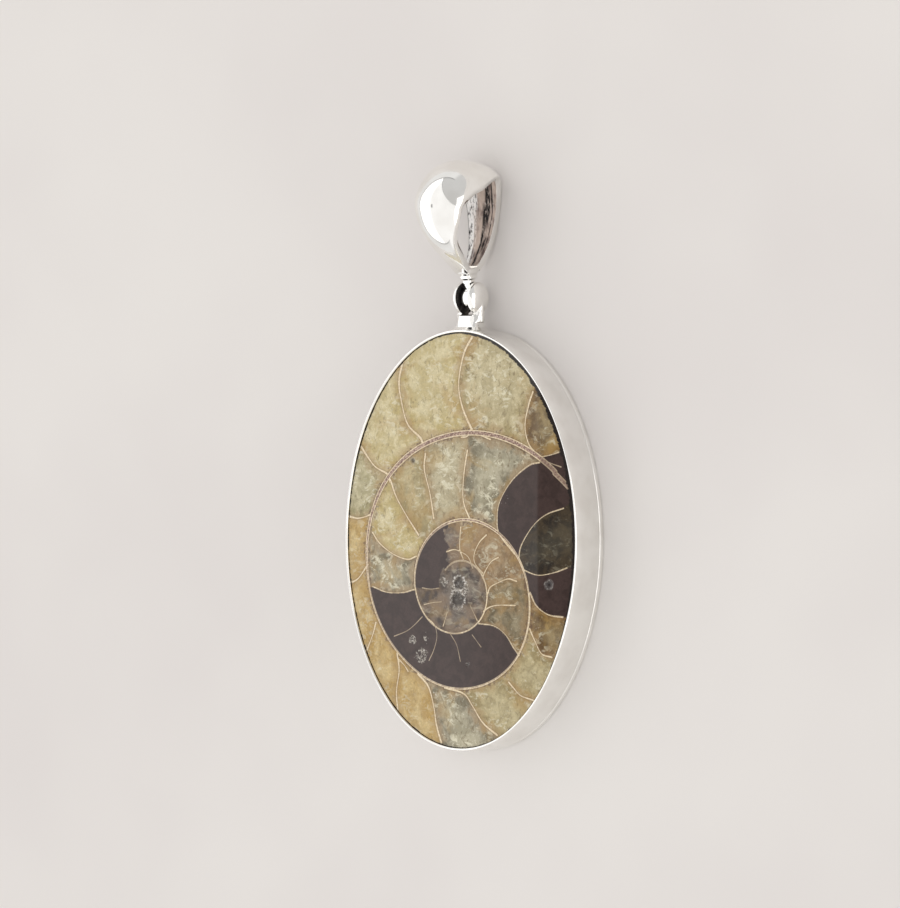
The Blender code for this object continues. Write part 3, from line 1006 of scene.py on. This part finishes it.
def strap_faces(count, row):
    """The quads of the strap's two faces, long edges and ends, and the material slot of each."""
    size = count * row
    faces, slots = [], []
    for k in range(count - 1):
        for i in range(row - 1):
            a, b = k * row + i, k * row + i + 1
            c, d = b + row, a + row
            faces.append((a, b, c, d))
            slots.append(0)
            faces.append((size + d, size + c, size + b, size + a))
            slots.append(1)
    for k in range(count - 1):
        for i in (0, row - 1):
            a, d = k * row + i, (k + 1) * row + i
            quad = (a, d, size + d, size + a)
            faces.append(quad if i == 0 else quad[::-1])
            slots.append(0)
    for k in (0, count - 1):
        for i in range(row - 1):
            a, b = k * row + i, k * row + i + 1
            quad = (b, a, size + a, size + b)
            faces.append(quad if k == 0 else quad[::-1])
            slots.append(0)
    return faces, slots


def make_bail(silver, inside):
    """The puffed strap bent into a teardrop loop, polished outside and dark inside."""
    steps, across_steps = 56, 40
    crown = bail_crown(steps)
    place = np.linspace(0, 1, len(crown))
    angles = np.linspace(-STRAP_EDGE, STRAP_EDGE, across_steps + 1)
    row = len(angles)
    faces, slots = strap_faces(len(crown), row)
    loop = mesh_of("bail_loop", strap_points(crown, place, angles), faces)
    loop.data.polygons.foreach_set("material_index", slots)
    loop.data.materials.append(silver)
    loop.data.materials.append(inside)
    outward(loop)
    for name, data in (
        ("strap_across", np.tile(np.tile(np.linspace(-1, 1, row), len(crown)), 2)),
        ("strap_along", np.tile(np.repeat(place * STRAP_LENGTH, row), 2)),
    ):
        layer = loop.data.attributes.new(name, "FLOAT", "POINT")
        layer.data.foreach_set("value", data.astype(np.float32))
    bevel = loop.modifiers.new("Rounded edges", "BEVEL")
    bevel.width = 0.12 * MM
    bevel.segments = 3
    bevel.limit_method = "ANGLE"
    bevel.angle_limit = math.radians(50)
    apply_modifiers(loop)
    loop.data.shade_smooth()
    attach(loop, "bail")
    return loop


def make_bail_neck(material):
    """The neck under the loop, and the knuckle that turns on the pin."""
    sections = []
    for up, half_x, half_z in (
        (0.0, 0.5, 0.42), (1.35, 0.5, 0.46), (1.8, 0.53, 0.52), (1.92, 0.7, 0.68), (2.05, 0.74, 0.74),
        (2.18, 0.66, 0.74), (2.3, 0.7, 0.82), (2.42, 0.8, 0.96), (2.62, 0.84, 1.08), (2.9, 0.84, 1.14),
    ):
        sections.append([(x, *leaning(up, depth)) for x, depth in squarish(half_x, half_z, 4, 48)])
    neck = loft("neck", sections)
    profile = ((-0.5, 0.42), (-0.5, 0.88), (-0.43, 0.95), (0.43, 0.95), (0.5, 0.88), (0.5, 0.42))
    rings = [[(x, *leaning(up, depth)) for up, depth in circle(r)] for x, r in profile]
    knuckle = loft("knuckle", rings, closed=True)
    neck = merged("bail_neck", [neck, knuckle])
    cast_in_one(neck, 0.04, 4)
    neck.data.materials.append(material)
    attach(neck, "bail")


# Surroundings


def make_floor():
    half = FLOOR_SIZE / 2
    corners = [(-half, -half, 0), (half, -half, 0), (half, half, 0), (-half, half, 0)]
    floor = mesh_of("floor", corners, [(0, 1, 2, 3)])
    n = Nodes("floor_pale")
    soft = n.noise(n.place(), 0.02, 3.0)
    colour = n.mix(n.smooth(soft, 0.3, 0.7), linear((219, 214, 211)), linear((225, 221, 217)))
    n.set(Base_Color=colour, Roughness=0.7, Specular_IOR_Level=0.2)
    floor.data.materials.append(n.material)


def make_world():
    """A pale room with a large white softbox to the left, whose edges are thin and dark."""
    grey_room, pale_room, surface, dark_edge, window, gap_level = 0.72, 0.95, 0.9, 0.35, 2.4, 0.42
    low_edge = 0.25
    world = bpy.data.worlds.new("pale_room")
    bpy.context.scene.world = world
    n = Nodes("pale_room", world)
    direction = n.tree.nodes.new("ShaderNodeTexCoord").outputs["Generated"]
    parts = n.tree.nodes.new("ShaderNodeSeparateXYZ")
    n.wire(direction, parts.inputs[0])
    x, y, z = parts.outputs

    # The softbox, the greyer room above its slanting edge, and a bright low window to the right
    turn = n.maths("ARCTAN2", x, z)
    softbox = n.smooth(turn, -0.56, -0.68, 1.2, 1.65)
    past = n.maths("SUBTRACT", n.maths("MULTIPLY_ADD", x, SOFTBOX_SLANT, y), SOFTBOX_EDGE)
    level = n.blend(n.smooth(past, -0.004, 0.004), softbox, grey_room)
    level = n.blend(n.smooth(n.maths("ABSOLUTE", past), 0.016, 0.008), level, dark_edge)
    low_right = n.times(n.smooth(x, 0.74, 0.84), n.smooth(z, 0.5, 0.35), n.smooth(y, 0.4, 0.3))
    level = n.blend(low_right, level, window)

    # A short grey gap in the softbox, beside its brightest part
    gap = n.times(n.smooth(turn, -0.538, -0.534), n.smooth(turn, -0.44, -0.46))
    gap = n.times(gap, n.smooth(n.maths("ABSOLUTE", y), 0.09, 0.08))
    level = n.blend(gap, level, gap_level)

    # The softbox's lower edge is dark, and under it the room and the surface are pale
    low = n.smooth(x, 0.3, 0.1)
    level = n.blend(n.times(n.smooth(z, low_edge, low_edge - 0.015), low), level, pale_room)
    edge = n.smooth(n.maths("ABSOLUTE", n.maths("SUBTRACT", z, low_edge)), 0.022, 0.01)
    level = n.blend(n.times(edge, low), level, dark_edge)
    level = n.blend(n.smooth(z, -0.02, -0.04), level, surface)
    level = n.times(level, ROOM_LEVEL)
    n.wire(level, n.shader.inputs["Strength"])
    n.shader.inputs["Color"].default_value = linear((251, 250, 249))


def make_camera():
    data = bpy.data.cameras.new("camera")
    data.sensor_fit = "HORIZONTAL"
    data.sensor_width = SENSOR_MM
    data.lens = SENSOR_MM * VIEW_DISTANCE * PIXELS_PER_MM / PHOTO_SIZE[0]
    data.clip_start = 0.01
    data.clip_end = 10
    camera = bpy.data.objects.new("camera", data)
    back = Vector((math.sin(VIEW_TURN), 0, math.cos(VIEW_TURN)))
    up = Vector((0, 1, 0))
    right = up.cross(back)
    camera.matrix_world = Matrix.Translation((VIEW_TARGET + VIEW_DISTANCE * back) * MM) @ Matrix(
        (right, up, back)
    ).transposed().to_4x4()
    bpy.context.scene.collection.objects.link(camera)
    bpy.context.scene.camera = camera


def main():
    bpy.context.scene.view_settings.view_transform = "Standard"
    make_camera()
    make_world()
    make_floor()
    make_stone()
    make_bezel(silver_material("bezel_silver"))
    make_plate(silver_material("plate_silver", scratch=1.6, roughness=0.1))
    make_fork(silver_material("fork_silver", roughness=0.08, dents=80.0), slot_tarnish_and_shade_material("fork_slot_tarnish_and_shade"))
    make_pin(silver_material("pin_silver", roughness=0.1))
    bail_silver = silver_material("bail_silver")
    loop = make_bail(bail_silver, oxidised_material("bail_inside"))
    make_bail_neck(bail_silver)
    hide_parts("bail")


main()
